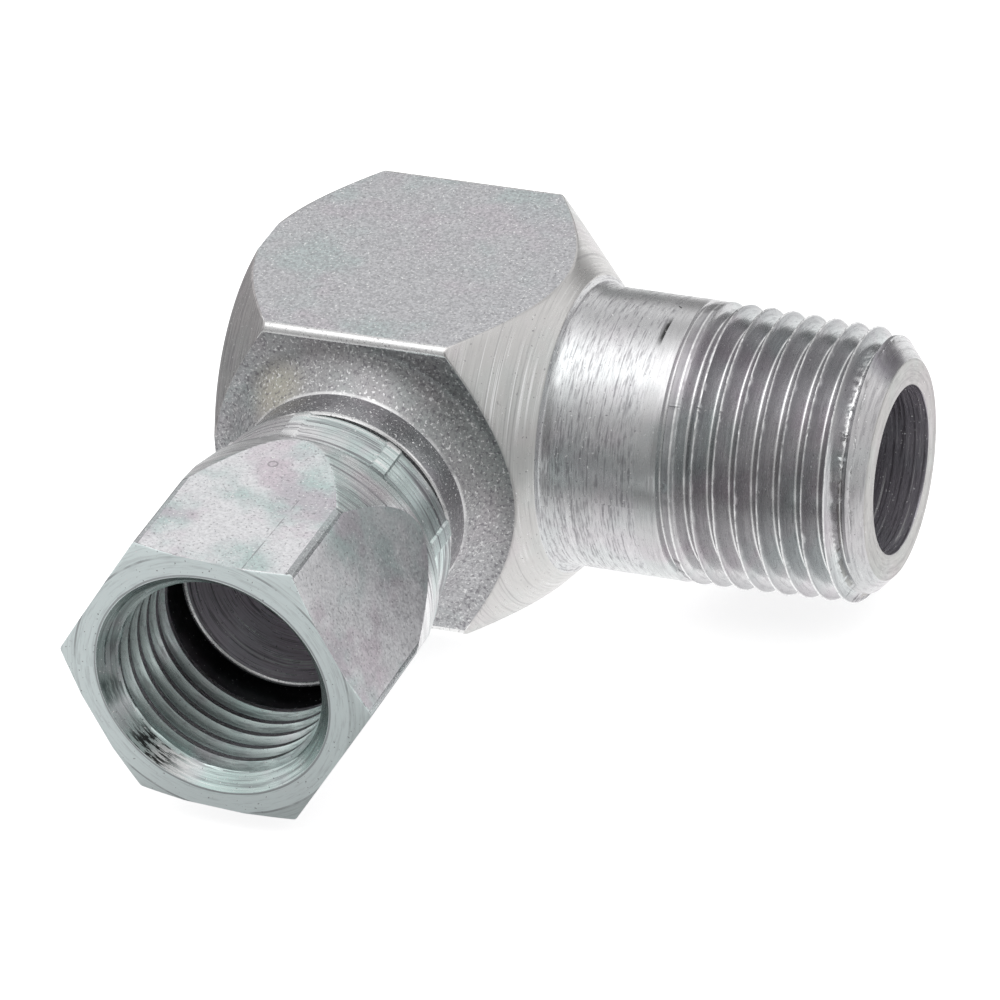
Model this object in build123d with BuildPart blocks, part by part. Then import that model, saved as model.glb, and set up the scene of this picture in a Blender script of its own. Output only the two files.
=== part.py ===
import os
from math import radians, sqrt, tan

from build123d import *

# A right-angle hydraulic adapter: an outside taper pipe thread points along +X, and a swivel nut
# with an inside thread points along -Y. The axes of the two bores cross at the origin, +Z is up,
# and the flat bottom of the block is what the adapter rests on. The threads stay plain here: the
# outside one at its crests, the inside one at its minor diameter.

# Square bar that the block is turned from
bar_width = 20.64
bar_edge_radius = 0.5
block_back = 10.0
back_face_diameter = 20.9

# Shank and taper-threaded end, measured along +X from the axis of the swivel
shank_start = 11.55
shank_diameter = 17.6
shank_step = 0.65
step_corner = 0.18
male_end = 31.5
taper_end_diameter = 17.06
pipe_taper = 1 / 16
end_face_diameter = 13.7
end_chamfer_length = 1.55

# Bore through the male end, with the point that the drill leaves
run_bore_diameter = 10.5
run_bore_past_axis = 3.0
drill_point_half_angle = 59

# Neck that carries the nut, out of the block's front face
neck_diameter = 14.8
neck_length = 4.43
neck_flare_width = 2.4
neck_flare_rise = 1.7
neck_flare_lean = 0.5
shoulder_chamfer = 0.25

# Tail inside the nut, from the neck's shoulder to the rim of the seat
groove_diameter = 12.1
head_diameter = 13.9
head_length = 2.0
nose_diameter = 12.7
tail_length = 9.55
tail_bore_diameter = 7.6
seat_diameter = 12.2
seat_half_angle = 37

# Swivel nut, outside
nut_width = 17.46
nut_length = 18.95
nut_turn = -3.5
collar_diameter = 15.9
collar_length = 2.75
collar_curve_length = 1.5
collar_curve_turn = 0.9
collar_step = 0.76
rear_cone_half_angle = 11
mouth_face_diameter = 17.9
mouth_chamfer_angle = 22

# The crimping die has eight jaws, and a narrow ridge of the collar stands between each two
crimp_jaws = 8
ridge_width = 1.0
ridge_height = 0.12
first_ridge_angle = 9

# Swivel nut, inside
thread_minor_diameter = 12.9
thread_depth = 8.5
countersink_diameter = 15.0
countersink_half_angle = 45
lip_length = 0.75

# Clearances between the nut and the tail
nut_to_shoulder_gap = 0.9
head_clearance = 0.2
lip_clearance = 0.35
swivel_play = 0.2

# Radii and places that follow. Places along the swivel are distances from the origin along -Y.
half_bar = bar_width / 2
bar_corner_radius = half_bar * sqrt(2)
neck_radius = neck_diameter / 2
groove_radius = groove_diameter / 2
head_radius = head_diameter / 2
nose_radius = nose_diameter / 2
collar_radius = collar_diameter / 2
thread_radius = thread_minor_diameter / 2
lip_radius = groove_radius + lip_clearance
cavity_radius = head_radius + head_clearance

shoulder = half_bar + neck_length
rim = shoulder + tail_length
nut_rear = shoulder + nut_to_shoulder_gap
nut_mouth = nut_rear + nut_length
lip_end = nut_rear + lip_length
head_back = lip_end - lip_clearance + swivel_play
head_front = head_back + (head_radius - groove_radius) + head_length


with BuildPart() as elbow_body:
    with BuildSketch(Plane.YZ.offset(-block_back)):
        RectangleRounded(bar_width, bar_width, bar_edge_radius)
    extrude(amount=block_back + male_end)

    # Turning leaves a cone of 45 degrees at each end of the block, the shank and the taper
    back_face_radius = back_face_diameter / 2
    shank_radius = shank_diameter / 2
    cone_end = shank_start - shank_step
    cone_end_radius = shank_radius + shank_step
    taper_start = male_end - (shank_diameter - taper_end_diameter) / pipe_taper
    chamfer_start = male_end - end_chamfer_length
    chamfer_radius = (taper_end_diameter + end_chamfer_length * pipe_taper) / 2
    with BuildSketch():
        with BuildLine():
            Polyline(
                (-block_back, 0),
                (-block_back, back_face_radius),
                (-block_back + bar_corner_radius - back_face_radius, bar_corner_radius),
                (cone_end - bar_corner_radius + cone_end_radius, bar_corner_radius),
                (cone_end, cone_end_radius),
                (cone_end + step_corner, shank_radius + step_corner),
                (shank_start, shank_radius),
                (taper_start, shank_radius),
                (chamfer_start, chamfer_radius),
                (male_end, end_face_diameter / 2),
                (male_end, 0),
                close=True,
            )
        make_face()
    revolve(axis=Axis.X, mode=Mode.INTERSECT)

    # Neck and tail, turned about the swivel's axis
    flare_width = min(neck_flare_width, half_bar - bar_edge_radius - neck_radius)
    with BuildSketch():
        with BuildLine():
            Polyline(
                (0, -rim),
                (0, 0),
                (neck_radius, 0),
                (neck_radius, -half_bar),
                (neck_radius + flare_width, -half_bar),
            )
            Bezier(
                (neck_radius + flare_width, -half_bar),
                (neck_radius + neck_flare_lean, -half_bar),
                (neck_radius, -half_bar - neck_flare_rise),
            )
            Polyline(
                (neck_radius, -half_bar - neck_flare_rise),
                (neck_radius, -shoulder + shoulder_chamfer),
                (neck_radius - shoulder_chamfer, -shoulder),
                (groove_radius, -shoulder),
                (groove_radius, -head_back),
                (head_radius, -head_back - (head_radius - groove_radius)),
                (head_radius, -head_front),
                (nose_radius, -head_front),
                (nose_radius, -rim),
                (0, -rim),
            )
        make_face()
    revolve(axis=Axis.Y)

    # Bore through the tail, with the flare seat cut into its rim
    with Locations(Plane.XZ.offset(rim)):
        CounterSinkHole(
            radius=tail_bore_diameter / 2,
            counter_sink_radius=seat_diameter / 2,
            depth=rim,
            counter_sink_angle=2 * seat_half_angle,
        )

    # Bore through the male end, past the swivel's axis to the drill's point
    run_bore_radius = run_bore_diameter / 2
    drill_point_length = run_bore_radius / tan(radians(drill_point_half_angle))
    with BuildSketch():
        with BuildLine():
            Polyline(
                (-run_bore_past_axis - drill_point_length, 0),
                (-run_bore_past_axis, run_bore_radius),
                (male_end, run_bore_radius),
                (male_end, 0),
                close=True,
            )
        make_face()
    revolve(axis=Axis.X, mode=Mode.SUBTRACT)


with BuildPart() as swivel_nut:
    hexagon_corner_radius = nut_width / sqrt(3)
    with BuildSketch(Plane.XZ.offset(nut_rear)):
        RegularPolygon(hexagon_corner_radius, 6, rotation=nut_turn)
    extrude(amount=nut_length)

    # Collar, the curve up from it and the long rear cone that cuts the six corners
    collar_end = nut_rear + collar_length
    cone_radius = collar_radius + collar_step
    cone_start = collar_end + collar_curve_length
    cone_widening = (nut_mouth - cone_start) * tan(radians(rear_cone_half_angle))
    with BuildSketch():
        with BuildLine():
            Polyline((0, -nut_rear), (collar_radius, -nut_rear), (collar_radius, -collar_end))
            Bezier(
                (collar_radius, -collar_end),
                (collar_radius, -collar_end - collar_curve_turn),
                (cone_radius, -cone_start),
            )
            Polyline(
                (cone_radius, -cone_start),
                (cone_radius + cone_widening, -nut_mouth),
                (0, -nut_mouth),
                (0, -nut_rear),
            )
        make_face()
    revolve(axis=Axis.Y, mode=Mode.INTERSECT)

    # Shallow chamfer round the mouth
    mouth_face_radius = mouth_face_diameter / 2
    chamfer_spread = nut_length / tan(radians(mouth_chamfer_angle))
    with BuildSketch():
        with BuildLine():
            Polyline(
                (0, -nut_rear),
                (mouth_face_radius + chamfer_spread, -nut_rear),
                (mouth_face_radius, -nut_mouth),
                (0, -nut_mouth),
                close=True,
            )
        make_face()
    revolve(axis=Axis.Y, mode=Mode.INTERSECT)

    # Ridges that the crimping jaws left, running out in the curve above the collar
    with BuildSketch(Plane.XZ.offset(nut_rear)):
        with PolarLocations(collar_radius, crimp_jaws, start_angle=first_ridge_angle):
            Rectangle(2 * ridge_height, ridge_width)
    extrude(amount=collar_length + collar_curve_turn)

    # Lip, cavity for the head, threaded bore and countersink
    thread_end = nut_mouth - thread_depth
    countersink_radius = countersink_diameter / 2
    countersink_depth = (countersink_radius - thread_radius) / tan(radians(countersink_half_angle))
    with BuildSketch():
        with BuildLine():
            Polyline(
                (0, -nut_rear),
                (lip_radius, -nut_rear),
                (lip_radius, -lip_end),
                (cavity_radius, -lip_end - (cavity_radius - lip_radius)),
                (cavity_radius, -thread_end),
                (thread_radius, -thread_end),
                (thread_radius, -nut_mouth + countersink_depth),
                (countersink_radius, -nut_mouth),
                (0, -nut_mouth),
                close=True,
            )
        make_face()
    revolve(axis=Axis.Y, mode=Mode.SUBTRACT)


elbow_body.part.label = "elbow_body"
swivel_nut.part.label = "swivel_nut"

os.makedirs("parts", exist_ok=True)
export_step(elbow_body.part, "parts/elbow_body.step")
export_step(swivel_nut.part, "parts/swivel_nut.step")
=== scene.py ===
from math import cos, pi, radians, sin, tan

import bmesh
import bpy
import numpy as np
from mathutils import Matrix, Vector


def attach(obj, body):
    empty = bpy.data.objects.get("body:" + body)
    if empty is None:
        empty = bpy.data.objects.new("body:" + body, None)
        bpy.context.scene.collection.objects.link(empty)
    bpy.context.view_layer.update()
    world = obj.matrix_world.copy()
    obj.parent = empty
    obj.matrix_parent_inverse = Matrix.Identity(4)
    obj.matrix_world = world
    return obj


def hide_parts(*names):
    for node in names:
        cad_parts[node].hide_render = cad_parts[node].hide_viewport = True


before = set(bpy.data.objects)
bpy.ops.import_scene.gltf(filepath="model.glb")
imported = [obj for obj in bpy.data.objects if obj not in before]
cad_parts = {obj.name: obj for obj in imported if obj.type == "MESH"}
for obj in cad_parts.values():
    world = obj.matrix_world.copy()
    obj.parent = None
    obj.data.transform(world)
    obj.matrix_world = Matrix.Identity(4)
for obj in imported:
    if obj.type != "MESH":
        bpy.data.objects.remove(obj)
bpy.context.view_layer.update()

# Lengths are in millimetres here, and become metres when a mesh is made. Places on the male leg
# are measured along +X, and places on the swivel and the nut along -Y, both from the origin.
MM = 0.001
TAU = 2 * pi
PITCH = 1.411
FLANK_SLOPE = tan(radians(60))
CORNER_STEPS = 3
WELD_STEPS = 20000    # to a millimetre

# Square bar, and what is turned on it before the thread is cut
BAR_HALF, BAR_EDGE = 10.32, 0.5
BACK_X, BACK_RADIUS = -10.0, 10.45
CONE_END_X, CONE_END_RADIUS = 10.9, 9.45
STEP_X, STEP_RADIUS = 11.08, 8.98
SHANK_X, SHANK_RADIUS = 11.55, 8.8
TIP_X, TIP_RADIUS, END_RADIUS = 31.5, 8.53, 6.85
CHAMFER_X, CHAMFER_RADIUS = 29.95, 8.578
TAPER = 1 / 32
RUN_RADIUS, RUN_END, DRILL_POINT = 5.25, -3.0, -6.155

# Taper thread. The photo shows a crest at CREST_X, CREST_TURN round from +Y towards +Z, and
# THREAD_FIRST is where the groove before it crosses +Y. The root climbs out before RUN_OUT_X.
THREAD_FROM, THREAD_TO = 17.2, 30.98
THREAD_DEPTH = 1.129
CREST_X, CREST_TURN = 19.04, radians(56.7)
THREAD_FIRST = CREST_X - PITCH / 2 - CREST_TURN / TAU * PITCH
RUN_OUT_X, RUN_OUT_RISE = 20.9, 0.98 / 3.1
ROOT_ROUND, ROOT_FLAT = 0.03, 0.045
TEAR_FROM, TEAR_DEPTH = 19, 0.012
BURR_X, BURR_REACH, BURR_ABOVE, BURR_HEIGHT, BURR_SWAY = 29.9, 0.16, 8.3, 0.030, 0.06

# Neck and tail
NECK_RADIUS, GROOVE_RADIUS, HEAD_RADIUS, NOSE_RADIUS = 7.4, 6.05, 6.95, 6.35
SHOULDER, GROOVE_END, HEAD_START, HEAD_END, TAIL_RIM = 14.75, 16.25, 17.15, 19.15, 24.3
FLARE_START, FLARE_PULL, FLARE_END = (10.3195, 9.8), (10.32, 8.75), (12.40, 7.42)
TAIL_RADIUS, SEAT_START, SEAT_END, RIM_BEVEL = 3.8, 21.25, (24.22, 6.04), (24.31, 6.24)

# Swivel nut
APOTHEM, NUT_EDGE, NUT_TURN = 8.73, 0.22, radians(-3.5)
NUT_REAR, NUT_MOUTH, MOUTH_RADIUS, SINK_RADIUS = 15.65, 34.6, 8.95, 7.5
COLLAR_RADIUS, COLLAR_END, COLLAR_CURVE = 7.95, 18.4, 0.9
NUT_CONE_START, NUT_CONE_RADIUS, NUT_CONE_ANGLE = 19.9, 8.71, radians(11)
MOUTH_CHAMFER_ANGLE = radians(22)
LIP_RADIUS, LIP_END, CAVITY_RADIUS, CAVITY_START = 6.4, 16.4, 7.15, 17.15
JAWS = 8
RIDGES = [radians(9 + 360 / JAWS * k) for k in range(JAWS)]
RIDGE_HEIGHT, JAW_PRESS = 0.12, 0.06
RIDGE_FOOT, RIDGE_TOP = radians(4.4), radians(3.4)
NUT_THREAD_END = 26.1
NUT_THREAD_FIRST = NUT_THREAD_END + 0.35
NUT_MINOR, NUT_MAJOR, NUT_ROOT_HALF = 6.45, 7.16, 0.085
NUT_ROOT_SOFT, NUT_ROOT_SHIFT = 0.02, 0.035


def bezier(a, b, c, n):
    """n + 1 points of a quadratic curve."""
    t = np.linspace(0, 1, n + 1)[:, None]
    a, b, c = (np.asarray(p, float) for p in (a, b, c))
    return list((1 - t) ** 2 * a + 2 * t * (1 - t) * b + t ** 2 * c)


def soften(points, reaches):
    """Rounds the inner corners of a profile, each by its own reach along its two sides."""
    points = [np.asarray(p, float) for p in points]
    out = [points[0]]
    for before, p, after, reach in zip(points, points[1:], points[2:], reaches):
        ends = []
        for side in (before, after):
            length = np.hypot(*(side - p))
            ends.append(p + (side - p) * (min(reach, 0.45 * length) / max(length, 1e-9)))
        out += bezier(ends[0], p, ends[1], CORNER_STEPS)
    return out + [points[-1]]


def split_rows(profiles, parts):
    """Rows of a grid of profiles, with each stretch of them cut into its number of parts."""
    rows = []
    for i, count in enumerate(parts):
        step = profiles[:, i + 1] - profiles[:, i]
        rows += [profiles[:, i] + step * (k / count) for k in range(count)]
    return np.array(rows + [profiles[:, -1]])


def same_all_round(points, angles):
    """Rows that have the same place and radius at every angle."""
    return np.array([np.tile(p, (len(angles), 1)) for p in points])


def with_angle(rows, angles):
    """Points (place, radius, angle) of rows of (place, radius)."""
    turns = np.tile(angles, (len(rows), 1))[..., None]
    return np.concatenate([rows, turns], -1).reshape(-1, 3)


def about_x(p):
    """(place, radius, angle) to the frame, turned about X."""
    return np.stack([p[:, 0], p[:, 1] * np.cos(p[:, 2]), p[:, 1] * np.sin(p[:, 2])], -1)


def about_y(p):
    """(place along -Y, radius, angle) to the frame, turned about Y."""
    return np.stack([p[:, 1] * np.cos(p[:, 2]), -p[:, 0], p[:, 1] * np.sin(p[:, 2])], -1)


def grid_quads(rows, cols, climb):
    """Quads of a grid that goes round a solid, and climbs by a number of rows in a turn."""
    i, j = np.meshgrid(np.arange(rows - 1), np.arange(cols), indexing="ij")
    over = j + 1 == cols
    up, k = np.where(over, i + climb, i), np.where(over, 0, j + 1)
    quads = np.stack([i * cols + j, (i + 1) * cols + j, (up + 1) * cols + k, up * cols + k], -1)
    return quads[up + 1 < rows]


def weld(co, quads, name):
    """An object of quads: coincident points joined, empty faces dropped, normals outward."""
    keys = np.round(co * WELD_STEPS).astype(np.int64)
    _, first, where = np.unique(keys, axis=0, return_index=True, return_inverse=True)
    seen, faces = set(), []
    for quad in where.reshape(-1)[quads]:
        face = list(dict.fromkeys(int(v) for v in quad))
        key = tuple(sorted(face))
        if len(face) > 2 and key not in seen:
            seen.add(key)
            faces.append(face)
    mesh = bpy.data.meshes.new(name)
    mesh.from_pydata((co[first] * MM).tolist(), [], faces)
    mesh.validate()
    bm = bmesh.new()
    bm.from_mesh(mesh)
    bmesh.ops.recalc_face_normals(bm, faces=bm.faces)
    bm.to_mesh(mesh)
    bm.free()
    mesh.update()
    obj = bpy.data.objects.new(name, mesh)
    bpy.context.scene.collection.objects.link(obj)
    return obj


def threaded(before, thread, climb, after, angles, place, name):
    """A closed solid of rings, then rows that follow a helix, then rings again."""
    co, quads, base = [], [], 0
    for rows, rise in ((before, 0), (thread, climb), (after, 0)):
        co.append(with_angle(rows, angles))
        quads.append(base + grid_quads(len(rows), len(angles), rise))
        base += len(co[-1])
    return weld(place(np.concatenate(co)), np.concatenate(quads), name)


def turned(points, name, cols, place):
    """A closed solid turned from a profile that starts and ends on the axis."""
    angles = np.arange(cols) / cols * TAU
    co = with_angle(same_all_round(points, angles), angles)
    return weld(place(co), grid_quads(len(points), cols, 0), name)


def boolean(obj, tool, operation):
    mod = obj.modifiers.new("cut", "BOOLEAN")
    mod.object, mod.operation, mod.solver = tool, operation, "MANIFOLD"
    depsgraph = bpy.context.evaluated_depsgraph_get()
    mesh = bpy.data.meshes.new_from_object(obj.evaluated_get(depsgraph))
    obj.modifiers.clear()
    old = obj.data
    obj.data = mesh
    bpy.data.meshes.remove(old)
    bpy.data.objects.remove(tool)


def flat_end(sides, apothem, edge):
    """Angle from the middle of a bar's flat to where its rounded edge starts."""
    return np.arctan2((apothem - edge) * tan(pi / sides), apothem)


def bar_reach(angles, sides, apothem, edge):
    """Reach of a bar with rounded edges. Angle 0 is the middle of a flat."""
    half = pi / sides
    off = np.abs(np.mod(angles + half, 2 * half) - half)
    centre, beside = (apothem - edge) / cos(half), half - off
    round_part = np.sqrt(np.maximum(edge ** 2 - (centre * np.sin(beside)) ** 2, 0))
    corner = centre * np.cos(beside) + round_part
    return np.where(off <= flat_end(sides, apothem, edge), apothem / np.cos(off), corner)


def camera():
    """The photo's camera: its direction, roll, distance, shift and focal length were fitted."""
    azimuth, elevation, roll = radians(23.207), radians(31.111), radians(-3.915)
    distance, shift_right, shift_up = 488.026, 4.641, -6.277
    focal_pixels, photo_pixels, sensor = 7758.951, 1000, 36
    back = Vector((cos(elevation) * sin(azimuth), -cos(elevation) * cos(azimuth), sin(elevation)))
    level = Vector((cos(azimuth), sin(azimuth), 0))
    upright = back.cross(level)
    right = level * cos(roll) + upright * sin(roll)
    up = -level * sin(roll) + upright * cos(roll)
    cam = bpy.data.cameras.new("photo_camera")
    cam.sensor_width = sensor
    cam.lens = focal_pixels / photo_pixels * sensor
    cam.clip_start, cam.clip_end = 0.01, 20
    obj = bpy.data.objects.new("photo_camera", cam)
    matrix = Matrix((right, up, back)).transposed().to_4x4()
    matrix.translation = (back * distance + right * shift_right + up * shift_up) * MM
    obj.matrix_world = matrix
    bpy.context.scene.collection.objects.link(obj)
    bpy.context.scene.camera = obj


camera()

# The elbow's columns: many on each flat of the bar, and some more round each of its edges
FLAT_COLUMNS, EDGE_COLUMNS = 56, 8
bar_flat_end = flat_end(4, BAR_HALF, BAR_EDGE)
quarter = np.concatenate([
    np.linspace(-bar_flat_end, bar_flat_end, FLAT_COLUMNS + 1)[:-1],
    np.linspace(bar_flat_end, pi / 2 - bar_flat_end, EDGE_COLUMNS + 1)[:-1]])
elbow_angles = np.concatenate([quarter + k * pi / 2 for k in range(4)])


def taper_radius(x):
    return TIP_RADIUS + (TIP_X - x) * TAPER


def blank(x):
    """Radius that the thread's crests are cut to: the shank, the taper or the end chamfer."""
    fall = (CHAMFER_RADIUS - END_RADIUS) / (TIP_X - CHAMFER_X)
    chamfer = CHAMFER_RADIUS - (x - CHAMFER_X) * fall
    return np.minimum(np.minimum(SHANK_RADIUS, taper_radius(x)), chamfer)


def male_root(x):
    return taper_radius(x) - THREAD_DEPTH + np.clip(RUN_OUT_X - x, 0, None) * RUN_OUT_RISE


# Rows across one turn of the male thread: a share of the groove's reach, and millimetres more
MALE_ROWS = [(0, -PITCH / 2), (-1, -0.022), (-1, 0.022), (-0.72, 0), (-0.42, 0), (-0.16, -0.02),
             (0, -0.03), (0, 0), (0, 0.03), (0.16, 0.02), (0.42, 0), (0.72, 0), (1, -0.022),
             (1, 0.022)]
MALE_CREST_ROWS = (0, 1, 13)


def male_thread():
    """Rows that follow the right-hand helix: groove floor, flanks and crest."""
    half, least, gap = PITCH / 2, 0.02, 0.012
    x, r = [], []
    for k in range(-3, 11):
        centre = THREAD_FIRST + k * PITCH + elbow_angles / TAU * PITCH
        at = np.clip(centre, THREAD_FROM - 1, THREAD_TO + 1)
        depth = np.clip(np.minimum(SHANK_RADIUS, taper_radius(at)) - male_root(at), 0, None)
        reach = np.clip(least + depth / FLANK_SLOPE, least, half - gap)
        off = np.array([share * reach + shift for share, shift in MALE_ROWS])
        off = np.sort(np.clip(off, -half, half - 0.002), axis=0)
        x.append(centre + off)
        r.append(male_root(x[-1])
                 + np.maximum(0, np.sqrt(off ** 2 + ROOT_ROUND ** 2) - ROOT_FLAT) * FLANK_SLOPE)
    x, r = np.concatenate(x), np.concatenate(r)
    r = np.minimum(r, blank(x))

    # Small tears along the crests, and a ragged burr where the end chamfer starts
    draw = np.random.default_rng(11)
    tear = np.abs(draw.normal(size=x.shape)) ** 2.2
    on_crest = np.isin(np.arange(len(x)) % len(MALE_ROWS), MALE_CREST_ROWS)[:, None]
    r = r - np.where(on_crest, TEAR_DEPTH, 0.0) * tear * (x > TEAR_FROM)
    edge = np.clip(1 - np.abs(x - BURR_X) / BURR_REACH, 0, 1)
    burr = np.abs(draw.normal(size=x.shape)) ** 1.5
    r = r + edge * np.clip(BURR_HEIGHT * burr - 0.025, -0.02, 0.07) * (r > BURR_ABOVE)
    x = x + edge * BURR_SWAY * draw.normal(size=x.shape)

    r = np.where(x < THREAD_FROM, SHANK_RADIUS, r)
    r = np.where(x > THREAD_TO, blank(THREAD_TO), r)
    return np.stack([np.clip(x, THREAD_FROM, THREAD_TO), r], -1)


def elbow_outside():
    """The turned bar with its thread, before the neck is added and the bores are cut."""
    profiles = []
    for reach in bar_reach(elbow_angles, 4, BAR_HALF, BAR_EDGE):
        rear = max(BACK_X, BACK_X + reach - BACK_RADIUS)
        front = CONE_END_X + CONE_END_RADIUS - reach
        profiles.append(soften(
            [(BACK_X, 0.0), (BACK_X, min(BACK_RADIUS, reach)), (rear + 1e-4, reach),
             (front, reach), (CONE_END_X, CONE_END_RADIUS), (STEP_X, STEP_RADIUS),
             (SHANK_X, SHANK_RADIUS), (THREAD_FROM, SHANK_RADIUS)],
            [0.10, 0.10, 0.10, 0.06, 0.12, 0.25]))
    # Back face, rear cone, flat, front cone, step, root of the step and shank
    parts = []
    for count in (10, 3, 16, 6, 1, 3, 10):
        parts += [count] + [1] * CORNER_STEPS
    before = split_rows(np.array(profiles), parts[:-CORNER_STEPS])
    end = soften([(THREAD_TO, blank(THREAD_TO)), (TIP_X, END_RADIUS), (TIP_X, 0.0)], [0.10])
    return threaded(before, male_thread(), len(MALE_ROWS), same_all_round(end, elbow_angles),
                    elbow_angles, about_x, "elbow_piece")


elbow = elbow_outside()
neck = turned([(3.0, 0.0), (3.0, 9.0)]
              + bezier(FLARE_START, FLARE_PULL, FLARE_END, 24)
              + soften([(12.44, NECK_RADIUS), (SHOULDER, NECK_RADIUS), (SHOULDER, GROOVE_RADIUS),
                        (GROOVE_END, GROOVE_RADIUS), (HEAD_START, HEAD_RADIUS),
                        (HEAD_END, HEAD_RADIUS), (HEAD_END, NOSE_RADIUS),
                        (TAIL_RIM, NOSE_RADIUS), (TAIL_RIM, 0.0)],
                       [0.25, 0.08, 0.12, 0.1, 0.12, 0.08, 0.06]),
              "neck_part", 160, about_y)
run_tool = turned([(DRILL_POINT, 0), (RUN_END, RUN_RADIUS), (10.0, RUN_RADIUS), (20.0, RUN_RADIUS),
                   (31.38, RUN_RADIUS), (TIP_X, 5.31), (31.7, 5.5), (31.7, 0)],
                  "run_tool", 144, about_x)
tail_tool = turned([(-2.0, 0), (-2.0, TAIL_RADIUS), (SEAT_START, TAIL_RADIUS), SEAT_END,
                    RIM_BEVEL, (24.8, 6.7), (24.8, 0)],
                   "tail_tool", 144, about_y)
boolean(elbow, neck, "UNION")
boolean(elbow, run_tool, "DIFFERENCE")
boolean(elbow, tail_tool, "DIFFERENCE")


def apart(angles, places):
    """Angle from each direction to the nearest of some places."""
    return np.abs((angles[:, None] - np.array(places) + pi) % TAU - pi).min(1)


def nut_columns():
    """Even columns, with exact ones at the hexagon's edges and the collar's ridges instead."""
    edge = pi / 6 - flat_end(6, APOTHEM, NUT_EDGE)
    exact = [NUT_TURN + k * pi / 3 + share * edge
             for k in range(6) for share in (-1, -0.5, 0, 0.5, 1)]
    exact += [ridge + radians(side) for ridge in RIDGES for side in (-4.3, -3.3, 3.3, 4.3)]
    exact = np.sort(np.mod(exact, TAU))
    even = np.arange(216) / 216 * TAU
    return np.sort(np.concatenate([even[apart(even, exact) > radians(0.6)], exact]))


nut_angles = nut_columns()


def nut_outside():
    """Rows from the lip's edge over the collar, the curve, the cone and the flats to the mouth."""
    reaches = bar_reach(nut_angles - NUT_TURN - pi / 6, 6, APOTHEM, NUT_EDGE)
    ridges = np.clip((RIDGE_FOOT - apart(nut_angles, RIDGES)) / (RIDGE_FOOT - RIDGE_TOP), 0, 1)
    jaws = apart(nut_angles - pi / JAWS, RIDGES) / (pi / JAWS)
    collars = COLLAR_RADIUS + RIDGE_HEIGHT * ridges - JAW_PRESS * (1 - jaws ** 2) * (1 - ridges)
    profiles = []
    for reach, collar in zip(reaches, collars):
        cone_end = NUT_CONE_START + (reach - NUT_CONE_RADIUS) / tan(NUT_CONE_ANGLE)
        chamfer = NUT_MOUTH - max(0.0, reach - MOUTH_RADIUS) * tan(MOUTH_CHAMFER_ANGLE)
        profiles.append(
            soften([(NUT_REAR, LIP_RADIUS), (NUT_REAR, collar), (COLLAR_END, collar)], [0.28])
            + bezier((COLLAR_END, collar), (COLLAR_END + COLLAR_CURVE, collar),
                     (NUT_CONE_START, NUT_CONE_RADIUS), 8)[1:]
            + soften([(NUT_CONE_START, NUT_CONE_RADIUS), (cone_end, reach), (chamfer, reach),
                      (NUT_MOUTH, min(MOUTH_RADIUS, reach)), (NUT_MOUTH, SINK_RADIUS)],
                     [0.12, 0.1, 0.08])[1:])
    profiles = np.array(profiles)
    lengths = np.abs(np.diff(profiles[:, :, 0], axis=1)).max(0)
    # The hexagon's flats are cut into ten, and the cone that leads up to them into five
    return split_rows(profiles, [1 if v < 1.2 else 10 if v > 6 else 5 for v in lengths])


def nut_thread():
    """Rows that follow the inside helix, and how many of them make a turn."""
    reach = NUT_ROOT_HALF + (NUT_MAJOR - NUT_MINOR) / FLANK_SLOPE
    side = [NUT_ROOT_HALF * 0.4, NUT_ROOT_HALF, reach * 0.3, reach * 0.5, reach * 0.75,
            reach - 0.025, reach + 0.025, reach + 0.10]
    offs = np.array([-PITCH / 2] + [-o for o in reversed(side)] + side)
    # The softness rounds the corners of the root, and the shift puts the flanks back
    away = np.sqrt(offs ** 2 + NUT_ROOT_SOFT) - NUT_ROOT_HALF - NUT_ROOT_SHIFT
    drop = np.maximum(0.0, away) * FLANK_SLOPE
    radii = np.clip(NUT_MAJOR - drop, NUT_MINOR, NUT_MAJOR)
    turns = range(-2, 8)
    t = np.concatenate([NUT_THREAD_FIRST + k * PITCH + nut_angles / TAU * PITCH + offs[:, None]
                        for k in turns])
    r = np.tile(radii, len(turns))[:, None] + 0 * t
    r = np.maximum(r, SINK_RADIUS - (NUT_MOUTH - t))
    r = np.where(t < NUT_THREAD_END, CAVITY_RADIUS, r)
    r = np.where(t > NUT_MOUTH, SINK_RADIUS, r)
    return np.stack([np.clip(t, NUT_THREAD_END, NUT_MOUTH), r], -1), len(offs)


nut_rows, nut_climb = nut_thread()
nut_inside = soften([(NUT_THREAD_END, CAVITY_RADIUS), (CAVITY_START, CAVITY_RADIUS),
                     (LIP_END, LIP_RADIUS), (NUT_REAR, LIP_RADIUS)], [0.1, 0.1])
nut = threaded(nut_outside(), nut_rows, nut_climb, same_all_round(nut_inside, nut_angles),
               nut_angles, about_y, "nut_piece")


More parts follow.
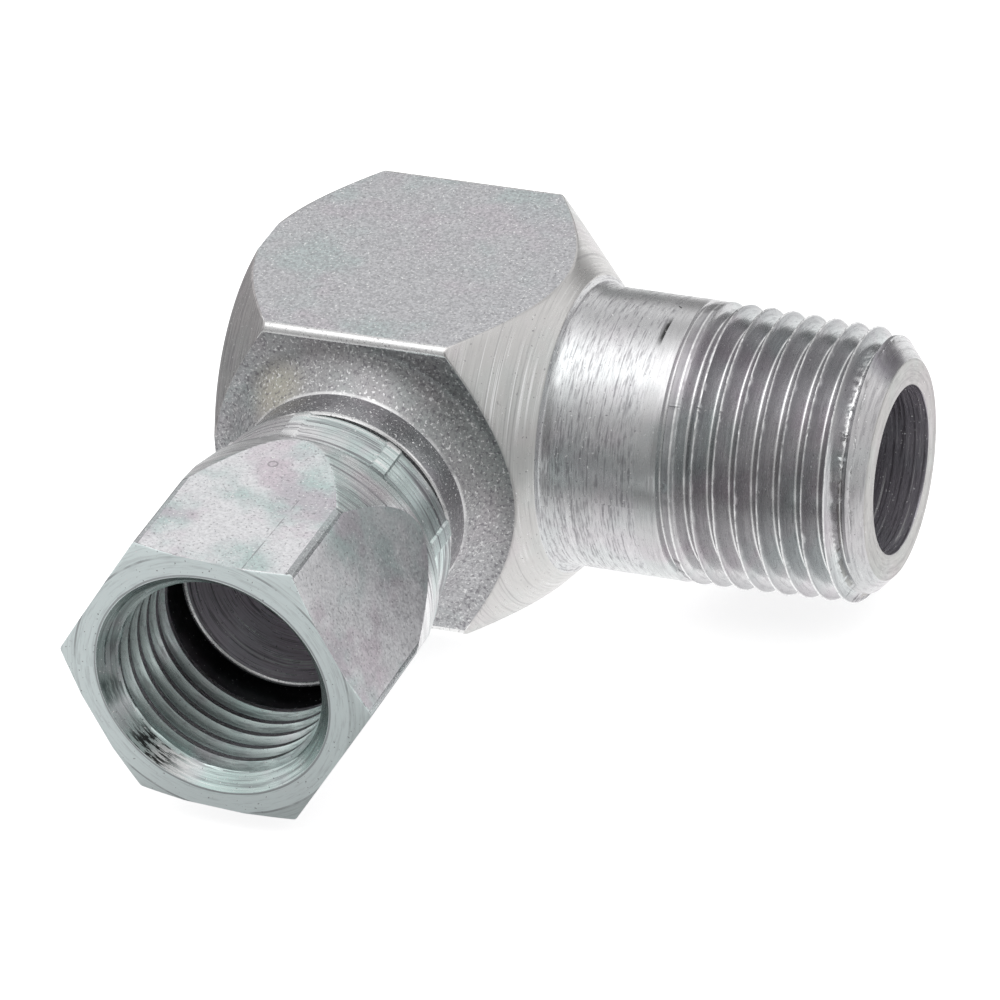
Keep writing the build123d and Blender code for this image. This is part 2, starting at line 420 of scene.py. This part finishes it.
class Nodes:
    """Short ways to add and join the nodes of a material or a world."""

    def __init__(self, owner):
        owner.use_nodes = True
        self.owner, self.tree = owner, owner.node_tree
        self.coordinates = self.add("ShaderNodeTexCoord").outputs
        self.pos = self.coordinates["Object"]

    def add(self, kind, **values):
        node = self.tree.nodes.new(kind)
        for key, value in values.items():
            setattr(node, key, value)
        return node

    def put(self, socket, value):
        if isinstance(value, bpy.types.NodeSocket):
            self.tree.links.new(value, socket)
        else:
            socket.default_value = value

    def math(self, op, a, b=0.0, clamp=False):
        n = self.add("ShaderNodeMath", operation=op, use_clamp=clamp)
        self.put(n.inputs[0], a)
        self.put(n.inputs[1], b)
        return n.outputs[0]

    def plus(self, a, b, clamp=False):
        return self.math("ADD", a, b, clamp)

    def minus(self, a, b):
        return self.math("SUBTRACT", a, b)

    def times(self, first, *others):
        for value in others:
            first = self.math("MULTIPLY", first, value)
        return first

    def absolute(self, a):
        return self.math("ABSOLUTE", a)

    def angle(self, a, b):
        """Angle about an axis, from a towards b."""
        return self.math("ARCTAN2", b, a)

    def radius(self, a, b):
        return self.math("SQRT", self.plus(self.times(a, a), self.times(b, b)))

    def vec(self, op, a, b=None):
        n = self.add("ShaderNodeVectorMath", operation=op)
        self.put(n.inputs[0], a)
        if b is not None:
            self.put(n.inputs[1], b)
        return n.outputs["Value" if op in ("LENGTH", "DOT_PRODUCT") else "Vector"]

    def distance(self, point):
        """Distance in metres from a point of the part that is given in millimetres."""
        return self.vec("LENGTH", self.vec("SUBTRACT", self.pos, tuple(v * MM for v in point)))

    def noise(self, where, scale, detail=2.0, rough=0.5):
        n = self.add("ShaderNodeTexNoise")
        self.put(n.inputs["Vector"], where)
        n.inputs["Scale"].default_value = scale
        n.inputs["Detail"].default_value = detail
        n.inputs["Roughness"].default_value = rough
        return n.outputs["Fac"]

    def wander(self, value, noise, width):
        """The value moved to and fro by a noise."""
        return self.plus(value, self.times(self.minus(noise, 0.5), width))

    def steps(self, value, lo, hi, a=0.0, b=1.0):
        """a up to lo, b from hi on and a smooth step between them; hi may be less than lo."""
        n = self.add("ShaderNodeMapRange", interpolation_type="SMOOTHSTEP")
        self.put(n.inputs["Value"], value)
        for key, x in (("From Min", lo), ("From Max", hi), ("To Min", a), ("To Max", b)):
            n.inputs[key].default_value = x
        return n.outputs["Result"]

    def steps_mm(self, value, lo, hi, a=0.0, b=1.0):
        return self.steps(value, lo * MM, hi * MM, a, b)

    def band(self, value, start, full, fade, end):
        """1 between full and fade, 0 before start and after end."""
        return self.times(self.steps(value, start, full), self.steps(value, end, fade))

    def band_mm(self, value, start, full, fade, end):
        return self.band(value, start * MM, full * MM, fade * MM, end * MM)

    def mix(self, fac, a, b):
        n = self.add("ShaderNodeMix", data_type="RGBA")
        self.put(n.inputs[0], fac)
        self.put(n.inputs[6], a)
        self.put(n.inputs[7], b)
        return n.outputs[2]

    def split(self, v):
        n = self.add("ShaderNodeSeparateXYZ")
        self.put(n.inputs[0], v)
        return n.outputs

    def join(self, x, y, z):
        n = self.add("ShaderNodeCombineXYZ")
        for socket, value in zip(n.inputs, (x, y, z)):
            self.put(socket, value)
        return n.outputs[0]

    def bump(self, height, strength, distance, below=None):
        n = self.add("ShaderNodeBump")
        n.inputs["Strength"].default_value = strength
        n.inputs["Distance"].default_value = distance
        self.put(n.inputs["Height"], height)
        if below is not None:
            self.put(n.inputs["Normal"], below)
        return n.outputs["Normal"]


MINT = (0.53, 0.70, 0.67, 1)
PINK = (0.72, 0.60, 0.68, 1)
DARK = (0.16, 0.15, 0.17, 1)
WHITE = (0.95, 0.95, 0.95, 1)
SOOT = (0.02, 0.02, 0.02, 1)


def tinted(n, base, mint, pink, scale):
    """Zinc plate with its soft mint and pink film."""
    a = n.noise(n.pos, scale, 3.0, 0.6)
    b = n.noise(n.vec("ADD", n.pos, (3.1, 1.7, 0.4)), scale * 1.3, 3.0, 0.6)
    color = n.mix(n.times(n.steps(a, 0.45, 0.62), mint), base, MINT)
    return n.mix(n.times(n.steps(b, 0.5, 0.65), pink), color, PINK)


def speckled(n, color, white, dark, scale, dark_share=0.75):
    """Bright and dark grains of a tumbled surface: the colour, and where the bright ones are."""
    light_grain = n.noise(n.pos, scale, 1.0, 0.5)
    dark_grain = n.noise(n.vec("ADD", n.pos, (0.7, 2.3, 5.1)), scale * 0.8, 1.0, 0.5)
    bright = n.steps(light_grain, white, white + 0.07)
    color = n.mix(n.times(n.steps(dark_grain, dark, dark - 0.09), dark_share), color, DARK)
    return n.mix(bright, color, WHITE), bright


def finish_metal(n, color, rough, normal, metallic):
    bsdf = n.tree.nodes["Principled BSDF"]
    n.put(bsdf.inputs["Base Color"], color)
    n.put(bsdf.inputs["Metallic"], metallic)
    n.put(bsdf.inputs["Roughness"], rough)
    n.put(bsdf.inputs["Normal"], normal)
    return n.owner


def near(n, point, radius):
    """1 near a point of the part and 0 away from it."""
    return n.steps_mm(n.distance(point), radius, radius * 0.3)


def line_mark(n, a, b, width):
    """1 on a thin wavering line between two points and 0 away from it."""
    a, b = Vector(a) * MM, Vector(b) * MM
    way, half = (b - a).normalized(), (b - a).length / 2
    rel = n.vec("SUBTRACT", n.pos, tuple((a + b) / 2))
    off = n.vec("LENGTH", n.vec("CROSS_PRODUCT", rel, tuple(way)))
    off = n.wander(off, n.noise(n.pos, 700), 0.00012)
    along = n.absolute(n.vec("DOT_PRODUCT", rel, tuple(way)))
    across = n.steps_mm(n.absolute(off), width, width * 0.4)
    return n.times(across, n.steps(along, half, half * 0.9))


def helix_phase(n, along, angle, first, noise):
    """Place across the thread: 0 in the middle of the groove, -0.5 and 0.5 on the crests."""
    u = n.minus(n.minus(along, n.times(angle, PITCH * MM / TAU)), first * MM)
    u = n.minus(n.math("FRACT", n.plus(n.math("DIVIDE", u, PITCH * MM), 0.5)), 0.5)
    return n.wander(u, noise, 0.03)


def bar_flat(name, base, mint, pink, rough, white=0.65, grey=0.45, pepper=0.45, size=7000,
             metallic=0.86, marks=None):
    """The bar's own skin: a fine grain with bright and dark specks."""
    n = Nodes(bpy.data.materials.new(name))
    grain = n.noise(n.pos, 5200, 3.0, 0.6)
    soft = n.noise(n.pos, 900, 3.0, 0.5)
    color = tinted(n, base, mint, pink, 140)
    color = n.mix(n.steps(grain, 0.62, 0.38, 0.0, grey), color, (0.26, 0.26, 0.28, 1))
    color, bright = speckled(n, color, white, 0.38, size, pepper)
    if marks:
        color = marks(n, color)
    r = n.plus(n.steps(grain, 0.35, 0.65, *rough), n.steps(soft, 0.4, 0.6, -0.03, 0.03))
    normal = n.bump(grain, 0.30, 0.00003, n.bump(soft, 0.12, 0.00005))
    return finish_metal(n, color, r, normal, n.minus(metallic, n.times(bright, 0.8)))


def turned_skin(name, axis, base, rough, dark, light, mint=0.1, pink=0.15, arc=0.0009, rate=6500,
                depth=0.3, broad_depth=0.06, specks=0.70, metallic=0.92, lines=0.0, marks=None):
    """Turning marks on plated steel: short streaks round the axis, long rings, specks."""
    n = Nodes(bpy.data.materials.new(name))
    x, y, z = n.split(n.pos)
    along, across = (x, y) if axis == "X" else (y, x)
    rad, ang = n.radius(across, z), n.angle(across, z)
    along = n.plus(along, n.times(n.noise(n.pos, 120), 0.00002))

    def streaks(length, scale, detail, roughness):
        return n.noise(n.join(along, rad, n.times(ang, length)), scale, detail, roughness)

    short = streaks(arc, rate, 3.0, 0.65)
    long = streaks(0.00008, rate * 0.75, 2.0, 0.6)
    broad = streaks(0.00003, rate * 0.2, 2.0, 0.5)
    both = n.plus(n.times(short, 0.6), n.times(long, 0.4))
    color = tinted(n, base, mint, pink, 150)
    color = n.mix(n.steps(both, 0.53, 0.36, 0.0, dark), color, DARK)
    color = n.mix(n.steps(both, 0.55, 0.70, 0.0, light), color, WHITE)
    patch = n.steps(n.noise(n.pos, 260, 1.0), 0.42, 0.58)
    color = n.mix(n.times(n.steps(long, 0.60, 0.65), lines, patch), color, WHITE)
    color = n.mix(n.times(n.steps(long, 0.38, 0.33), lines * 0.7), color, DARK)
    color, bright = speckled(n, color, specks, 0.30, 7000)
    if marks:
        color = marks(n, color)
    blotch = n.steps(n.noise(n.pos, 420, 4.0, 0.6), 0.45, 0.7, 0.0, 0.06)
    r = n.plus(n.steps(both, 0.38, 0.62, rough[1], rough[0]), blotch)
    normal = n.bump(both, depth, 0.000025, n.bump(broad, broad_depth, 0.00004))
    return finish_metal(n, color, r, normal, n.minus(metallic, n.times(bright, 0.7)))


def bar_marks_and_painted_light(n, color):
    """The block's front: painted shade darker towards its upper right, pits and bright grains, a
    gold tint, and a painted highlight round the neck's corner.
    """
    x, y, z = n.split(n.pos)
    front = n.steps_mm(y, -10.22, -10.30)
    # Painted shade: the front darker towards its upper right, where it mirrors the nut
    tone = n.steps_mm(n.plus(z, n.times(x, 0.6)), -2.0, 9.0, 0.24, 0.58)
    color = n.mix(n.times(front, tone), color, (0.20, 0.195, 0.19, 1))
    gold = n.times(near(n, (-4.6, -10.9, 5.8), 3.0), 0.32)
    color = n.mix(gold, color, (0.58, 0.52, 0.33, 1))
    pits = n.steps(n.noise(n.pos, 4800), 0.45, 0.35, 0.0, 0.62)
    color = n.mix(n.times(front, pits), color, DARK)
    grains = n.noise(n.vec("ADD", n.pos, (4.1, 0.3, 2.2)), 5600)
    color = n.mix(n.times(front, n.steps(grains, 0.59, 0.67, 0.0, 0.65)), color, WHITE)
    # Painted highlight: a bright, patchy ring round the neck's corner
    patchy = n.steps(n.noise(n.pos, 500), 0.38, 0.6, 0.10, 0.6)
    return n.mix(n.times(n.steps_mm(y, -12.18, -12.32), patchy), color, WHITE)


def cone_marks(n, color):
    """Long bright arcs that the tool left near the shank."""
    x, y, z = n.split(n.pos)
    ring = n.noise(n.join(x, n.times(n.angle(y, z), 0.00006), 0.0), 9500, 1.0)
    arcs = n.times(n.steps(ring, 0.58, 0.64), near(n, (8.6, -8.6, 7.2), 4.2), 0.9)
    return n.mix(arcs, color, WHITE)


def shank_marks(n, color):
    """The dark smear of the tool's run-out and a hair of metal beside it."""
    off = n.absolute(n.minus(n.split(n.pos)[0], THREAD_FROM * MM))
    smear = n.times(near(n, (THREAD_FROM, -1.7, 8.6), 1.7), n.steps_mm(off, 0.42, 0.10))
    ragged = n.steps(n.noise(n.pos, 3000), 0.26, 0.42)
    color = n.mix(n.times(smear, ragged, 0.95), color, SOOT)
    hair = line_mark(n, (16.9, 1.25, 8.71), (17.9, 0.4, 8.79), 0.05)
    return n.mix(hair, color, (0.03, 0.03, 0.03, 1))


def thread_marks_and_painted_light(n, color):
    """Along the helix: painted highlights on root and crests, painted shade on the flanks and on
    the thread's top and bottom, painted glints on the burr at the chamfer.
    """
    x, y, z = n.split(n.pos)
    torn = n.noise(n.pos, 2600, 3.0, 0.7)
    u = helix_phase(n, x, n.angle(y, z), THREAD_FIRST, torn)
    on = n.steps_mm(x, 17.9, 19.4)
    color = n.mix(n.times(n.minus(1.0, on), 0.50), color, (0.42, 0.42, 0.43, 1))
    # Painted shade on the flank at the -X side of each groove
    fore_flank_shade = n.times(n.steps(u, -0.44, -0.12, 0.46, 0.0), n.steps(u, -0.02, -0.04))
    color = n.mix(n.times(fore_flank_shade, on), color, DARK)
    # Painted shade on the flank at the +X side of each groove
    back = n.band(u, 0.03, 0.06, 0.42, 0.46)
    color = n.mix(n.times(back, on, 0.62), color, DARK)
    # Painted highlights: bright lines along the root and the crests
    off = n.absolute(u)
    lines = n.plus(n.steps(off, 0.045, 0.015), n.steps(off, 0.445, 0.475), True)
    lines = n.times(lines, on, n.steps(torn, 0.36, 0.5, 0.35, 0.85))
    color = n.mix(lines, color, WHITE)
    # Painted shade: the thread darker towards its top and its bottom
    ends = n.plus(n.steps_mm(z, 4.2, 7.6, 0.0, 0.32), n.steps_mm(z, -3.8, -7.6, 0.0, 0.40))
    color = n.mix(n.times(ends, n.minus(1.0, lines), on), color, (0.22, 0.22, 0.24, 1))
    # Painted glints: white dots on the real burr where the chamfer starts, on its upper part only
    burr_glint = n.steps_mm(n.absolute(n.minus(x, 29.92 * MM)), 0.17, 0.07)
    burr_glint = n.times(burr_glint, n.steps_mm(z, -4.0, 0.0), n.steps(torn, 0.47, 0.55))
    return n.mix(burr_glint, color, WHITE)


def chamfer_painted_reflection(n, color):
    """Painted reflection: a dark patch at the top of the end chamfer, standing in for the dim part
    of the room it mirrors.
    """
    patchy = n.steps(n.noise(n.pos, 600), 0.3, 0.6, 0.25, 0.62)
    return n.mix(n.times(near(n, (30.8, 0.3, 7.8), 2.6), patchy), color, (0.20, 0.17, 0.22, 1))


def nut_marks_and_painted_shade(n, color):
    """Painted shade on the right flat, darker towards the rear, two thin scratches and a round mark
    on the upper one.
    """
    x, y, z = n.split(n.pos)
    # Painted shade: the right flat darker, more so towards the rear
    right_flat_shade = n.times(n.steps_mm(x, 5.5, 6.1), n.steps_mm(y, -33.0, -22.0, 0.12, 0.50))
    color = n.mix(n.times(right_flat_shade, n.steps_mm(z, -1.5, 0.0)), color, (0.30, 0.30, 0.31, 1))
    for a, b, share in (((2.9, -26.2, 8.6), (2.6, -34.8, 8.6), 0.55),
                        ((1.2, -19.0, 8.7), (3.1, -22.5, 8.6), 0.3)):
        color = n.mix(n.times(line_mark(n, a, b, 0.05), share), color, DARK)
    ring = n.band_mm(n.distance((-0.10, -23.19, 8.75)), 0.20, 0.27, 0.31, 0.38)
    return n.mix(n.times(ring, 0.5), color, DARK)


def mouth_marks(n, color):
    """A greener rim, a worn dark line beside it and a thin one round the countersink."""
    x, _, z = n.split(n.pos)
    rad = n.wander(n.radius(x, z), n.noise(n.pos, 300), 0.00015)
    color = n.mix(n.times(n.steps_mm(rad, 8.88, 8.98), 0.18), color, (0.60, 0.66, 0.65, 1))
    patchy = n.steps(n.noise(n.pos, 420), 0.40, 0.60, 0.1, 0.6)
    color = n.mix(n.times(n.band_mm(rad, 8.80, 8.86, 8.92, 8.98), patchy), color, DARK)
    return n.mix(n.times(n.band_mm(rad, 7.50, 7.56, 7.62, 7.68), 0.6), color, DARK)


def sink_streaks_and_painted_light(n, color):
    """Streaks along the countersink's turning lines: painted shade in two dark patches on its left,
    a painted highlight at its bottom, and a black rub where its tool rubbed.
    """
    x, y, z = n.split(n.pos)
    fine = n.noise(n.join(y, n.times(n.angle(x, z), 0.0006), 0.0), 8000, 3.0, 0.7)
    # Two patches of painted shade on the left, and a painted highlight in a white one at the bottom
    for point, radius, shade, share in (((-7.0, -34.3, -1.7), 1.5, (0.04, 0.06, 0.06, 1), 0.8),
                                        ((-6.3, -33.6, 1.2), 1.2, (0.10, 0.12, 0.12, 1), 0.6),
                                        ((-3.2, -34.1, -6.2), 2.2, WHITE, 0.85)):
        streak = n.steps(fine, 0.36, 0.58, share * 0.4, share)
        color = n.mix(n.times(near(n, point, radius), streak), color, shade)
    rub = n.times(near(n, (-4.6, -34.3, -5.5), 2.6), n.steps(fine, 0.53, 0.45), 0.95)
    return n.mix(rub, color, SOOT)


def nut_thread_painted_light(n, color):
    """Along the inside helix: painted shade on the flanks that deepens towards the root, and
    painted highlights on the flat crests.
    """
    x, y, z = n.split(n.pos)
    u = helix_phase(n, n.times(y, -1.0), n.angle(x, z), NUT_THREAD_FIRST, n.noise(n.pos, 1500))
    on = n.steps_mm(y, -33.4, -33.1)
    # Painted shade on the flanks
    flank_shade = n.times(n.band(u, -0.40, -0.14, 0.36, 0.40), on, 0.58)
    color = n.mix(flank_shade, color, (0.10, 0.13, 0.13, 1))
    # Painted highlights on the crests
    crest = n.times(n.steps(n.absolute(u), 0.36, 0.44), on, 0.65)
    return n.mix(crest, color, (0.95, 0.93, 0.94, 1))


elbow_materials = {
    "bar": bar_flat("plated_bar_skin", (0.68, 0.68, 0.70, 1), mint=0.35, pink=0.25,
                    rough=(0.34, 0.46), marks=bar_marks_and_painted_light),
    "front_cone": turned_skin("plated_front_cone", "X", (0.64, 0.63, 0.62, 1), rough=(0.26, 0.34),
                              dark=0.12, light=0.08, rate=8500, depth=0.10, broad_depth=0.03,
                              specks=0.73, lines=0.30, marks=cone_marks),
    "thread": turned_skin("plated_thread_x", "X", (0.86, 0.855, 0.86, 1), rough=(0.18, 0.30),
                          dark=0.28, light=0.2, mint=0.25, pink=0.32, rate=8500, depth=0.15,
                          broad_depth=0.03, marks=thread_marks_and_painted_light),
    "end": turned_skin("plated_end_face", "X", (0.49, 0.48, 0.47, 1), rough=(0.34, 0.44),
                       dark=0.25, light=0.25, depth=0.2, broad_depth=0.03, specks=0.72),
    "run_bore": turned_skin("plated_run_bore", "X", (0.40, 0.38, 0.42, 1), rough=(0.18, 0.32),
                            dark=1.0, light=1.0, arc=0.0003, depth=0.5, metallic=0.55, lines=1.0),
    # The neck: a darker copy of the bar's skin, painted shade
    "neck": bar_flat("plated_neck_painted_shade", (0.42, 0.415, 0.43, 1), mint=0.1, pink=0.15,
                     rough=(0.18, 0.28), grey=0.4, pepper=0.3),
    "tail": turned_skin("plated_tail", "Y", (0.74, 0.66, 0.74, 1), rough=(0.26, 0.40), dark=0.8,
                        light=0.8, arc=0.0002, rate=7000, depth=0.4, metallic=0.6, lines=1.0),
    "shank": turned_skin("plated_shank", "X", (0.66, 0.66, 0.67, 1), rough=(0.20, 0.34), dark=0.62,
                         light=0.38, arc=0.0012, rate=8500, depth=0.4, marks=shank_marks),
    "rear_cone": turned_skin("plated_rear_cone", "X", (0.50, 0.48, 0.48, 1), rough=(0.24, 0.4),
                             dark=0.6, light=0.35),
    "chamfer": turned_skin("plated_end_chamfer", "X", (0.58, 0.57, 0.58, 1), rough=(0.18, 0.28),
                           dark=0.35, light=0.25, depth=0.2, broad_depth=0.03, specks=0.72,
                           marks=chamfer_painted_reflection),
    # Bar edges and the neck's shoulder: the skin smoother and near-white, a painted highlight
    "edge": bar_flat("plated_bar_edges_painted_highlight", (0.90, 0.90, 0.90, 1), mint=0.0, pink=0.0,
                     rough=(0.16, 0.26), white=0.68, grey=0.08, pepper=0.5),
    # The tail's rim: a near-white copy of the plate, a painted highlight
    "rim": bar_flat("plated_tail_rim_painted_highlight", (0.98, 0.98, 0.98, 1), mint=0.0, pink=0.0,
                    rough=(0.20, 0.28), white=0.68, grey=0.0, pepper=0.2, metallic=0.95),
}
nut_materials = {
    "flat": bar_flat("plated_nut_flats", (0.95, 0.95, 0.97, 1), mint=0.72, pink=0.62,
                     rough=(0.32, 0.42), white=0.66, grey=0.24, pepper=0.46, marks=nut_marks_and_painted_shade),
    "turned": turned_skin("plated_nut_collar", "Y", (0.88, 0.88, 0.89, 1), rough=(0.20, 0.34),
                          dark=0.75, light=0.8, mint=0.6, pink=0.4, arc=0.0003, rate=4500,
                          depth=0.4, lines=0.9),
    "thread": turned_skin("plated_nut_thread", "Y", (0.80, 0.92, 0.90, 1), rough=(0.20, 0.32),
                          dark=0.45, light=0.2, mint=0.7, pink=0.4, depth=0.15, broad_depth=0.04,
                          marks=nut_thread_painted_light),
    # The nut's inside behind the thread: near-black plate, painted shade
    "cavity": turned_skin("plated_nut_inside_painted_shade", "Y", (0.10, 0.10, 0.11, 1), rough=(0.35, 0.5),
                          dark=0.6, light=0.05),
    "mouth": turned_skin("plated_nut_mouth", "Y", (0.90, 1.0, 1.0, 1), rough=(0.32, 0.44),
                         dark=0.22, light=0.2, mint=0.0, pink=0.04, depth=0.15, broad_depth=0.03,
                         specks=0.74, metallic=0.08, marks=mouth_marks),
    "sink": turned_skin("plated_countersink", "Y", (0.60, 0.71, 0.69, 1), rough=(0.18, 0.32),
                        dark=0.5, light=0.4, mint=0.6, pink=0.3, arc=0.0004, depth=0.4, lines=0.4,
                        marks=sink_streaks_and_painted_light),
    "edge": bar_flat("plated_nut_edges", (0.50, 0.52, 0.53, 1), mint=0.3, pink=0.2,
                     rough=(0.18, 0.28), white=0.68, grey=0.3, pepper=0.5, size=8500),
}


def zones(obj, materials, pick):
    """Gives each face the material of its zone, from its centre and its normal."""
    mesh = obj.data
    mesh.materials.clear()
    for material in materials.values():
        mesh.materials.append(material)
    count = len(mesh.polygons)
    centres, normals = np.empty(count * 3), np.empty(count * 3)
    mesh.polygons.foreach_get("center", centres)
    mesh.polygons.foreach_get("normal", normals)
    slots = {name: i for i, name in enumerate(materials)}
    index = pick(centres.reshape(-1, 3) / MM, normals.reshape(-1, 3), slots).astype(np.int32)
    mesh.polygons.foreach_set("material_index", index)
    mesh.update()


def elbow_zones(centres, normals, slot):
    """Later lines win over earlier ones."""
    x, y, z = centres.T
    along = normals[:, 0]
    rx, ry = np.hypot(y, z), np.hypot(x, z)
    out = np.where(x < 0, slot["rear_cone"], np.where(x < 10.95, slot["front_cone"], slot["shank"]))

    # The bar's flats and its edges, between the two cones
    flat = np.zeros(len(x), bool)
    for k, side in ((1, y), (2, z)):
        flat |= (np.abs(normals[:, k]) > 0.999) & (np.abs(np.abs(side) - BAR_HALF) < 0.02)
    edge = (rx > 14.0) & (np.abs(along) < 0.1)
    block = (x < 10.4) & (x > BACK_X)
    out[flat & block] = slot["bar"]
    out[edge & ~flat & block] = slot["edge"]

    # The male end, from the thread to its bore
    out[(x > THREAD_FROM) & (rx > 5.6)] = slot["thread"]
    out[(along > 0.6) & (along < 0.9) & (x > CHAMFER_X)] = slot["end"]
    out[(along > 0.5) & (rx > 5.2) & (x > 30.9)] = slot["end"]
    out[(along > 0.3) & (along < 0.95) & (rx > 6.9) & (x > 30.06)] = slot["chamfer"]
    out[(x > -6.3) & (x < 31.6) & (rx < 5.3) & (y > -5.3) & (along < 0.9)] = slot["run_bore"]

    # The flare keeps the bar's skin; the neck, its shoulder, the tail, its bore and its rim follow
    out[(y < -BAR_HALF - 0.001) & (ry < 9.9)] = slot["bar"]
    out[y < -12.41] = slot["neck"]
    out[(np.abs(y + 14.62) < 0.16) & (ry > 7.1) & (y < -14.4)] = slot["edge"]
    out[y < -15.2] = slot["tail"]
    tail_bore = (ry < 3.9) & (y < -4.0) & (rx > 4.0) & (y > -24)
    out[tail_bore & (np.abs(normals[:, 1]) < 0.2)] = slot["tail"]
    out[(y < -24.2) & (ry > 6.0)] = slot["rim"]
    return out


def nut_zones(centres, normals, slot):
    """Later lines win over earlier ones."""
    x, y, z = centres.T
    r, t = np.hypot(x, z), -y
    outward = (normals[:, 0] * x + normals[:, 2] * z) / np.maximum(r, 1e-6)
    out = np.full(len(x), slot["turned"])
    flat = (np.abs(normals[:, 1]) < 0.02) & (t > 19.95) & (outward > 0) & (r > 8.5)
    out[flat] = slot["flat"]
    out[flat & (r > 9.94)] = slot["edge"]
    out[(normals[:, 1] < -0.3) & (t > 33.0)] = slot["mouth"]
    inside = (outward < 0.2) & (r < 7.2)
    out[inside & (t > 26.05)] = slot["thread"]
    out[inside & (t <= 26.15)] = slot["cavity"]
    out[(outward < -0.4) & (normals[:, 1] < -0.5) & (t > 33.7)] = slot["sink"]
    return out


zones(elbow, elbow_materials, elbow_zones)
zones(nut, nut_materials, nut_zones)
for piece in (elbow, nut):
    piece.data.shade_smooth()
    piece.data.set_sharp_from_angle(angle=radians(32))
    piece.modifiers.new("normals", "WEIGHTED_NORMAL").keep_sharp = True

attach(elbow, "elbow")
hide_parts("elbow_body")
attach(nut, "nut")
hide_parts("swivel_nut")


def floor():
    """A pale floor. The part sees a glow on it that differs from place to place."""
    half, level = 3.0, -10.33 * MM
    corners = [(x * half, y * half, level) for x, y in ((-1, -1), (1, -1), (1, 1), (-1, 1))]
    mesh = bpy.data.meshes.new("floor")
    mesh.from_pydata(corners, [], [(0, 1, 2, 3)])
    obj = bpy.data.objects.new("floor", mesh)
    bpy.context.scene.collection.objects.link(obj)
    material = bpy.data.materials.new("pale_floor")
    n = Nodes(material)
    n.tree.nodes.remove(n.tree.nodes["Principled BSDF"])
    x, y, _ = n.split(n.pos)

    # Brightness to the left of the part and under it, then the fall farther to the left
    under = n.plus(n.steps_mm(y, -42, -2, 0.23, 1.15), n.steps_mm(y, -66, -46, 0.42, 0.0))
    blend = n.add("ShaderNodeMix")
    n.put(blend.inputs[0], n.steps_mm(x, -14, -2))
    n.put(blend.inputs[2], 0.78)
    n.put(blend.inputs[3], under)
    glow = n.add("ShaderNodeEmission")
    n.put(glow.inputs["Strength"], n.times(blend.outputs[0], n.steps_mm(x, -60, -15, 0.50, 1.0)))

    pale = n.add("ShaderNodeBsdfDiffuse")
    pale.inputs["Color"].default_value = (0.62, 0.62, 0.62, 1)
    white = n.add("ShaderNodeEmission")
    white.inputs["Strength"].default_value = 0.74
    seen = n.add("ShaderNodeAddShader")
    n.put(seen.inputs[0], pale.outputs[0])
    n.put(seen.inputs[1], white.outputs[0])
    pick = n.add("ShaderNodeMixShader")
    n.put(pick.inputs[0], n.add("ShaderNodeLightPath").outputs["Is Camera Ray"])
    n.put(pick.inputs[1], glow.outputs[0])
    n.put(pick.inputs[2], seen.outputs[0])
    n.put(n.tree.nodes["Material Output"].inputs["Surface"], pick.outputs[0])
    mesh.materials.append(material)


def lights():
    """A white room: bright above, softer behind and to the sides, dim at the front."""
    world = bpy.data.worlds.new("studio")
    bpy.context.scene.world = world
    n = Nodes(world)
    where = n.coordinates["Generated"]
    x, y, z = n.split(where)
    above = n.plus(n.steps(z, 0.0, 0.55, 0.34, 0.52), n.steps(z, 0.55, 0.95, 0.0, 0.80))
    above = n.times(above, n.steps(y, 0.1, 0.5, 1.0, 0.72))
    back = n.times(n.steps(z, 0.28, 0.34), n.steps(z, 0.56, 0.70, 0.50, 0.0),
                   n.steps(y, 0.1, 0.6))
    right = n.times(n.steps(z, -0.1, 0.1), n.steps(x, 0.45, 0.85, 0.0, 0.35))
    left = n.times(n.steps(z, -0.1, 0.1), n.steps(x, -0.85, -0.5, 0.45, 0.0))
    total = n.plus(n.plus(above, back), n.plus(right, left))
    front = n.vec("DOT_PRODUCT", where, (0.422, -0.855, 0.302))
    total = n.times(total, n.steps(front, 0.72, 0.90, 1.0, 0.50))
    seen = n.add("ShaderNodeLightPath").outputs["Is Camera Ray"]
    background = n.tree.nodes["Background"]
    background.inputs["Color"].default_value = (1, 1, 1, 1)
    n.put(background.inputs["Strength"], n.math("MAXIMUM", total, seen))

    light = bpy.data.lights.new("top_soft", "AREA")
    light.energy = 0.3
    light.shape = "RECTANGLE"
    light.size, light.size_y = 0.45, 0.40
    obj = bpy.data.objects.new("top_soft", light)
    place, aim = Vector((-0.03, -0.08, 0.60)), Vector((0.01, 0, 0))
    obj.location = place
    obj.rotation_euler = (aim - place).to_track_quat("-Z", "Y").to_euler()
    bpy.context.scene.collection.objects.link(obj)


floor()
lights()
view = bpy.context.scene.view_settings
view.view_transform = "Standard"
view.exposure = 0.0
